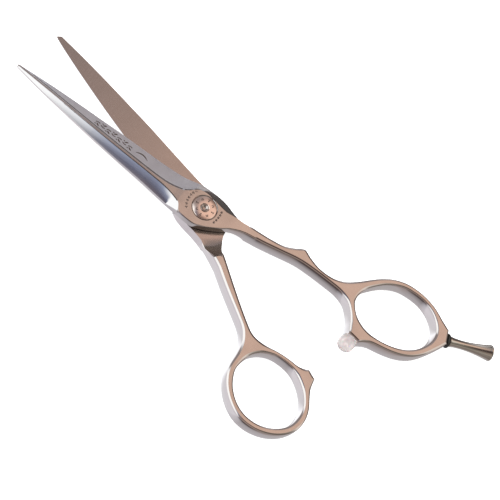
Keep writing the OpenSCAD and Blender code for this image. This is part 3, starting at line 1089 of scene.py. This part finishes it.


# Lays the etching, and also the painted shade ribbons round the dial recess and in the corners.
def lay_dark_ribbons(name, metal, strokes, body):
    """One mesh of thin closed ribbons that lie on a piece of metal."""
    surface = BVHTree.FromObject(metal, bpy.context.evaluated_depsgraph_get())
    bm = bmesh.new()
    for points, half in strokes:
        way = np.gradient(points, axis=0)
        side = np.column_stack([-way[:, 1], way[:, 0]])
        side /= np.linalg.norm(side, axis=1)[:, None]
        rows = []
        for edge_line in (points + side * half[:, None], points - side * half[:, None]):
            for lift in (PROUD, -BURIED):
                row = []
                for x, y in edge_line:
                    hit = surface.ray_cast(Vector((x, y, ABOVE)) * MM, Vector((0, 0, -1)))[0]
                    row.append(bm.verts.new((x * MM, y * MM, hit.z + lift * MM)))
                rows.append(row)
        left_top, left_low, right_top, right_low = rows
        ring = [left_top, left_low, right_low, right_top]
        for a, b in zip(ring, ring[1:] + ring[:1]):
            for k in range(len(points) - 1):
                bm.faces.new((a[k], a[k + 1], b[k + 1], b[k]))
        for k in (0, -1):
            bm.faces.new([row[k] for row in ring])
    bmesh.ops.recalc_face_normals(bm, faces=bm.faces)
    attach(as_piece(bm, name, [etch_and_shade_dark], soft=False), body)
    print(name, len(strokes), "strokes")


# %% Ticks on the dial
TICKS = 8
dial_marks = []
for k in range(TICKS):
    angle = 360 / TICKS * k + 4
    if k % 2:
        for lean in (-0.2, 0.2):
            dial_marks.append(stroke([polar(2.3, angle, lean * 1.6), polar(2.65, angle, lean),
                                      polar(3.0, angle, lean * 0.7)], 0.26))
    else:
        dial_marks.append(spoke(2.5, angle, 0.25, 0, 0, 0.36))
        dial_marks.append(stroke([polar(3.0, angle, -0.32), polar(3.03, angle),
                                  polar(3.0, angle, 0.32)], 0.26))
lay_dark_ribbons("dial_click_marks", dial, dial_marks, "dial")

# %% Marks round the pivot, and a painted shade ring round the dial recess
pivot_marks_and_rim_shade = []
for x, y in ((4.9, 2.1), (5.05, 1.05), (5.05, 0.0), (5.0, -1.1), (4.8, -2.2)):
    pivot_marks_and_rim_shade.append(stroke([(x - 0.36, y), (x, y), (x + 0.36, y)], 0.56, 0.7))
    pivot_marks_and_rim_shade.append(stroke([(x - 0.3, y + 0.4), (x, y + 0.42), (x + 0.3, y + 0.4)], 0.2))
for k, angle in enumerate(np.linspace(152, 219, 7)):
    r = 5.75 + 0.1 * math.cos(math.radians(angle * 3))
    pivot_marks_and_rim_shade.append(spoke(r, angle, 0.42, -0.16, 0.04, 0.28))
    beside_it = (0.3, 0.22, 0.04, 0.28) if k % 2 else (0.14, 0.24, 0, 0.32)
    pivot_marks_and_rim_shade.append(spoke(r, angle, *beside_it, 0.5))
# Painted shade: a dark ring just outside the dial recess stands in for the shade in the gap round
# the dial.
rim = [polar(recess_r + 0.15, a) for a in np.linspace(0, 359, 120)]
pivot_marks_and_rim_shade.append(stroke(rim, 0.15))
lay_dark_ribbons("pivot_marks_and_rim_shade", finger_steel, pivot_marks_and_rim_shade, "finger")

# %% Vine on the satin face
vine = []
for k in range(7):
    x = -41.4 + 2.0 * k
    side = 1 if k % 2 else -1
    stem = [(x + 0.29 * j, 1.42 - side * 0.4 * math.sin(math.pi * j / 6)) for j in range(7)]
    vine.append(stroke(stem[:6], 0.32))
    leaf = [(x + 0.5 + 0.22 * j, 1.42 + side * (0.2 + 0.8 * math.sin(0.27 * j)))
            for j in range(6)]
    vine.append(stroke(leaf, 0.5, 0.7))
    vine.append(stroke([(x - 0.05, 1.42 + side * 0.75), (x + 0.2, 1.42 + side * 0.8),
                        (x + 0.45, 1.42 + side * 0.75)], 0.42, 0.5))
tail = [(-26.4 + 0.48 * j, 1.3 + 0.85 * math.sin(math.pi * j / 9)) for j in range(10)]
vine.append(stroke(tail, 0.5, 0.7))
lay_dark_ribbons("satin_face_vine", finger_steel, vine, "finger")

# %% [markdown]
# Fine dark ribbons are laid in the inner corners between the ground faces as painted
# shade and dark reflection: along the ridge, round the heel and beside the strip.

# %% Painted shade lines in the corners between the faces


def beside(line, shift):
    """The line moved sideways, to its left if shift is above zero."""
    way = np.gradient(line, axis=0)
    side = np.column_stack([-way[:, 1], way[:, 0]])
    return line + shift * side / np.linalg.norm(side, axis=1)[:, None]


# Painted shade: these dark ribbons stand in for the shade and dark reflection in the corners.
strip_shade_line = beside(smooth(strip_line), -0.1)
strip_shade_line = strip_shade_line[(strip_shade_line[:, 0] > -52) & (strip_shade_line[:, 0] < -7.6)]
crease_shade_strokes = [(line, np.linspace(first, last, len(line))) for line, first, last in (
    (beside(smooth(ridge_line), 0.55)[12:], 0.12, 0.2),
    (beside(smooth(flank_foot), -0.5)[3:-2], 0.2, 0.2),
    (strip_shade_line, 0.04, 0.1))]
lay_dark_ribbons("painted_crease_shade", finger_steel, crease_shade_strokes, "finger")

# %% [markdown]
# ## Bumper
# A soft clear plug is pushed over a small stud on the finger half. It stops the two
# rings from clicking together. It is moulded in silicone, so it is clear with a slight
# haze, and the stud shows through it as a paler core.

# %% Silicone bumper
BUMPER_LEAN = math.radians(-8)
bumper_axis = Vector((math.sin(BUMPER_LEAN), -math.cos(BUMPER_LEAN), 0))
bumper_foot = (59.0, -3.3, FULL / 2)
BUMPER_R = 2.6
BUMPER_L = 4.6
crown = [(BUMPER_R * math.cos(a), BUMPER_L - 2.0 + 2.0 * math.sin(a))
         for a in np.radians(np.linspace(0, 90, 12))]
bumper_profile = [(0, 2.26), (0.9, 2.26), (1.03, 2.12), (1.03, 0.03), (2.3, 0.03), (2.42, 0.12),
                  (2.44, 0.7), (2.5, 0.85), (BUMPER_R - 0.02, 1.0), (BUMPER_R, 1.2),
                  (BUMPER_R, 1.9)] + crown[:-1] + [(0, BUMPER_L)]
clear_silicone = grained("clear_silicone_rubber", 1.5, [(0.3, "#e3d9d8"), (0.7, "#f3edec")],
                         rough=(0.12, 0.24), Transmission_Weight=0.6, IOR=1.41,
                         Subsurface_Weight=0.1, Subsurface_Scale=1.0 * MM)
bumper = turned_piece("silicone_bumper", bumper_profile, bumper_foot, bumper_axis,
                      clear_silicone)
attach(bumper, "finger")
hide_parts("bumper")

# %% [markdown]
# ## Tang and o-ring
# The little finger rests on the tang. It screws into the ring on a stud and a black
# o-ring under it keeps it from working loose. It is turned from bar and buffed: a
# collar, a slim waist, and a flare that ends in a rounded chamfer.

# %% Tang and o-ring
tang_joint = next(j for j in frame["joints"] if j["name"] == "tang_unscrew")
tang_axis = Vector(tang_joint["axis"]).normalized()
tang_foot = [c / MM for c in tang_joint["pos_m"]]
TANG_END = 16.3
RING_T = 1.1
tang_line = smooth([(1.5, RING_T + 0.02), (1.68, RING_T + 0.12), (1.74, RING_T + 0.35),
                    (1.66, RING_T + 0.8), (1.5, RING_T + 1.9), (1.41, RING_T + 3.4),
                    (1.4, RING_T + 5.0), (1.47, RING_T + 6.8), (1.62, RING_T + 8.6),
                    (1.85, RING_T + 10.4), (2.14, RING_T + 12.2), (2.45, RING_T + 13.8),
                    (2.6, RING_T + 14.4), (2.63, RING_T + 14.65)], step=0.3)
tang_profile = ([(0, RING_T + 2.95), (1.03, RING_T + 2.95), (1.03, RING_T + 0.02)]
                + [tuple(p) for p in tang_line]
                + [(2.6, RING_T + 14.8), (2.45, RING_T + 14.95), (1.9, RING_T + 15.14),
                   (1.7, RING_T + 15.18), (0, TANG_END - 0.01)])
tang_steel = steel("buffed_tang_steel", "#d3d1c8", 0.12, 0.4, 24, depth=0.02, grain=0.1)
tang = turned_piece("screw_in_tang", tang_profile, tang_foot, tang_axis, tang_steel, 96)
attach(tang, "tang_screw")
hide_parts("tang")

black_nitrile = grained("black_nitrile_rubber", 0.3, [(0.3, "#151413"), (0.7, "#26241f")],
                        detail=4, bump=0.15, Roughness=0.42, IOR=1.52)
ring_mid, ring_wide = (4.7 / 2 + 1.05) / 2, (4.7 / 2 - 1.05) / 2
o_ring_profile = [(ring_mid + ring_wide * math.cos(a), RING_T / 2 + 0.01
                   + RING_T / 2 * math.sin(a)) for a in np.linspace(0, 2 * math.pi, 25)]
o_ring = turned_piece("tang_o_ring_rubber", o_ring_profile, tang_foot, tang_axis,
                      black_nitrile)
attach(o_ring, "tang_carrier")
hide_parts("tang_o_ring")

# %% [markdown]
# ## Small parts of the pivot
# The bolt, the bronze bush, the glide washer, the wave washer and the click plate are
# right as they are in the frame. They are mostly hidden, but each gets its own finish.

# %% Finishes for the pivot's own parts
spring_steel = steel("spring_steel", "#b4aea8", 0.25, 0.15, depth=0.05, ring=True)
sintered_bronze = grained("sintered_bronze", 0.4, [(0.35, "#8a6230"), (0.65, "#b58a4a")],
                          detail=4, Metallic=1, Roughness=0.35)
acetal = grained("acetal_glide", 0.5, [(0.3, "#dedbd4"), (0.7, "#efede8")],
                 Roughness=0.45, IOR=1.48)
nylon = grained("white_nylon", 0.4, [(0.3, "#e8e4e0"), (0.7, "#f7f5f2")],
                Roughness=0.4, IOR=1.53)
node_finish = {"pivot_bolt": turned_steel, "pivot_bush": sintered_bronze,
               "glide_washer": acetal, "wave_washer": spring_steel,
               "click_plate": spring_steel, "bumper_stud": nylon, "tang_stud": turned_steel}
for name, material in node_finish.items():
    mesh = nodes[name].data
    mesh.materials.clear()
    mesh.materials.append(material)
print("frame nodes with their own finish:", sorted(node_finish))

# %% [markdown]
# ## Light
# Polished steel shows its surroundings, so the room is painted as the steel should see
# it, in rings that run from below the far horizon, over the top, to below the near one.
# Four such rings stand side by side, and the steel sees a blend of the two nearest. In
# the middle a warm screen stands high up and a cool strip is overhead, on the left the
# room is pale and bright, and on the right it is darker. Each stop is written as the
# tone that the steel should show there. Steel gives back only a share of the light, in
# its own colour, so the room behind is worked out from the tone and the steel's colour.
# Only reflections see this painted room; everything else is lit by a plain soft white,
# and the camera sees a plain white studio.

# %% The room that the steel reflects
world = bpy.data.worlds.new("studio")
bpy.context.scene.world = world
world.use_nodes = True
world.cycles.sampling_method = "NONE"
tree = world.node_tree
tree.nodes.clear()
facing = add(tree, "ShaderNodeTexCoord").outputs["Generated"]
part = add(tree, "ShaderNodeSeparateXYZ", i0=facing)
swing = add(tree, "ShaderNodeMath", {"operation": "ARCTAN2"}, i0=part.outputs[2],
            i1=part.outputs[1])
turn = add(tree, "ShaderNodeMapRange", Value=swing.outputs[0], i1=-math.pi, i2=math.pi)
print("room seen by direction, with +Y at the far horizon")

# %% Four rings of the room: angle up from the far horizon, tone, and the steel that shows it
left = [
    (-180, "#beb5ba"), (-165, "#cec7cc"), (-150, "#c8c1c6"), (-140, "#cdc7cb"), (-125, "#d4cdd1"),
    (-110, "#cfc9cc"), (-90, "#cdc8ca"), (-80, "#e1dddf"), (-68, "#fcfafc"), (-58, "#ebe6e8"),
    (-48, "#cdc4c6"), (-28, "#aaa0a0"), (-12, "#bcbac1", "satin"), (4, "#bcbac1", "satin"),
    (10, "#544f4e", "flank"), (26, "#544f4e", "flank"), (38, "#7d706c", "ride"),
    (50, "#746865", "ride"), (66, "#766a66", "ride"), (74, "#ebecf0", "hollow"),
    (80, "#ffffff", "hollow"), (160, "#ffffff", "hollow"), (172, "#dcd4d6"), (180, "#beb5ba")]
middle = [
    (-180, "#6e5e5c"), (-165, "#5c5050"), (-150, "#695f62"), (-140, "#969094"), (-130, "#bab5bb"),
    (-115, "#c2bbbe"), (-95, "#bcb7bb"), (-85, "#d4d0d0"), (-72, "#fcfbfc"), (-58, "#cdc8c8"),
    (-46, "#786e6c"), (-32, "#4e4442", "flank"), (-18, "#544b4a", "flank"),
    (-6, "#b3afb4", "satin"), (2, "#cfccd3", "satin"), (28, "#cfcbd2", "satin"),
    (39, "#8c7a73", "ride"), (50, "#84726c", "ride"), (66, "#84736d", "ride"),
    (76, "#666574", "hollow"), (86, "#5e5e70", "hollow"), (95, "#767b92", "hollow"),
    (104, "#8c94ac", "hollow"), (113, "#949bb2", "hollow"), (120, "#78747c", "hollow"),
    (127, "#685a56"), (140, "#a08a82"), (151, "#96827a"), (165, "#685856"), (180, "#6e5e5c")]
right = [
    (-180, "#584a46"), (-165, "#4e423e"), (-150, "#4c4140"), (-140, "#584e4e"), (-131, "#878081"),
    (-122, "#a49d9f"), (-108, "#aca5a7"), (-90, "#aca5a7"), (-76, "#aca6a7"), (-62, "#968d8b"),
    (-48, "#706866"), (-34, "#524a48", "flank"), (-16, "#504b49", "flank"),
    (4, "#504b4a", "flank"), (18, "#544946", "flank"), (32, "#544540", "lapped"),
    (41, "#6e5a52", "lapped"), (49, "#cbaa98", "lapped"), (70, "#cbaa98", "lapped"),
    (77, "#967c70", "lapped"), (84, "#54443f"), (96, "#40332f"), (108, "#50423d"),
    (120, "#8a776e"), (146, "#9a867c"), (158, "#685853"), (168, "#50433f"), (180, "#50433f")]
far_right = [
    (-180, "#80746e"), (-165, "#766863"), (-150, "#7a6c68"), (-135, "#948682"), (-120, "#9b8e8c"),
    (-108, "#a8a0a0"), (-80, "#a59d9c"), (-60, "#988e8a"), (-40, "#786e69"), (-10, "#645a54"),
    (20, "#5f524b"), (40, "#8c7a70"), (52, "#cdb4a5"), (70, "#d7cac0"), (84, "#8c8278"),
    (98, "#766c63"), (112, "#625851"), (128, "#766b63"), (142, "#988d84"), (158, "#80726c"),
    (180, "#80746e")]
print("rings have", [len(ring) for ring in (left, middle, right, far_right)], "stops")

# %% The rings blended from side to side


GLOW = 1.85
GIVES_BACK = {"lapped": 0.93, "buffed": 0.97, "satin": 0.9, "hollow": 0.97, "flank": 0.95,
              "ride": 0.93}


def screen(tone, finish):
    """Colour of the room that makes a finish show a tone."""
    share = GIVES_BACK[finish] * GLOW
    return [t / (own * share) for t, own in zip(linear(tone)[:3], linear(STEEL[finish]))] + [1]


def as_stops(ring):
    """Stops of a colour ramp from a ring of (angle, tone, finish); buffed if not named."""
    return [((angle + 180) / 360, screen(tone, finish[0] if finish else "buffed"))
            for angle, tone, *finish in ring]


painted = add(tree, "ShaderNodeValToRGB", {"stops": as_stops(right)}, Fac=turn.outputs[0]).outputs[0]
for side, start, stop in ((far_right, 0.28, 0.5), (middle, 0.04, -0.12), (left, -0.14, -0.21)):
    share = add(tree, "ShaderNodeMapRange", Value=part.outputs[0], i1=start, i2=stop)
    band = add(tree, "ShaderNodeValToRGB", {"stops": as_stops(side)}, Fac=turn.outputs[0])
    painted = add(tree, "ShaderNodeMix", {"data_type": "RGBA"}, i0=share.outputs[0], i6=painted,
                  i7=band.outputs[0]).outputs[2]
light_path = add(tree, "ShaderNodeLightPath")
reflected = add(tree, "ShaderNodeBackground", Color=painted, Strength=GLOW)
soft_white = add(tree, "ShaderNodeBackground", Color=linear("#ffffff"), Strength=0.75)
seen = add(tree, "ShaderNodeBackground", Color=linear("#ffffff"), Strength=1.0)
first = add(tree, "ShaderNodeMixShader", i0=light_path.outputs["Is Glossy Ray"],
            i1=soft_white.outputs[0], i2=reflected.outputs[0])
last = add(tree, "ShaderNodeMixShader", i0=light_path.outputs["Is Camera Ray"],
           i1=first.outputs[0], i2=seen.outputs[0])
add(tree, "ShaderNodeOutputWorld", Surface=last.outputs[0])
print("room painted, for reflections only")

# %% The table and a soft lamp
paper = grained("matt_white_paper", 8, [(0.3, "#f4f4f4"), (0.7, "#f8f8f8")], Roughness=0.9,
                Specular_IOR_Level=0.1, Emission_Color=linear("#ffffff"), Emission_Strength=0.7)
bpy.ops.mesh.primitive_plane_add(size=4, location=(0, 0, -0.02 * MM))
table = bpy.context.object
table.name = "table"
table.data.materials.append(paper)
table.visible_glossy = False

lamp_data = bpy.data.lights.new("soft_lamp", "AREA")
lamp_data.shape = "RECTANGLE"
lamp_data.size, lamp_data.size_y = 0.6, 0.5
lamp_data.energy = 3.0
lamp = bpy.data.objects.new("soft_lamp", lamp_data)
lamp.location = (0.02, 0.12, 0.7)
lamp.rotation_euler = (math.radians(-10), 0, 0)
lamp.visible_glossy = False
bpy.context.scene.collection.objects.link(lamp)
print("lamp", lamp_data.energy, "W")

# %% [markdown]
# ## Camera
# The shears are seen from 60 degrees above the table and from the near side, turned so
# that they lie corner to corner in the frame.

# %% Camera
AIM = Vector((18.592, -0.371, 2.7)) * MM
AZIMUTH, ELEVATION, ROLL_CAM = map(math.radians, (-7.533, 60.355, 44.571))
DISTANCE = 369.9 * MM
back = Vector((math.sin(AZIMUTH) * math.cos(ELEVATION),
               -math.cos(AZIMUTH) * math.cos(ELEVATION), math.sin(ELEVATION)))
level = Vector((math.cos(AZIMUTH), math.sin(AZIMUTH), 0))
upright = back.cross(level)
right = level * math.cos(ROLL_CAM) + upright * math.sin(ROLL_CAM)
top = back.cross(right)
camera_data = bpy.data.cameras.new("camera")
camera_data.lens, camera_data.sensor_width = 88.42, 36
camera_data.clip_start, camera_data.clip_end = 0.01, 10
camera = bpy.data.objects.new("camera", camera_data)
camera.matrix_world = Matrix([(*row, 0) for row in zip(right, top, back)] + [(0, 0, 0, 1)])
camera.location = AIM + back * DISTANCE
bpy.context.scene.collection.objects.link(camera)
bpy.context.scene.camera = camera
scene_view = bpy.context.scene.view_settings
scene_view.view_transform = "Standard"
scene_view.look = "None"
print("camera at", [round(c / MM, 1) for c in camera.location])

# %% Bring the scene up to date
bpy.context.view_layer.update()
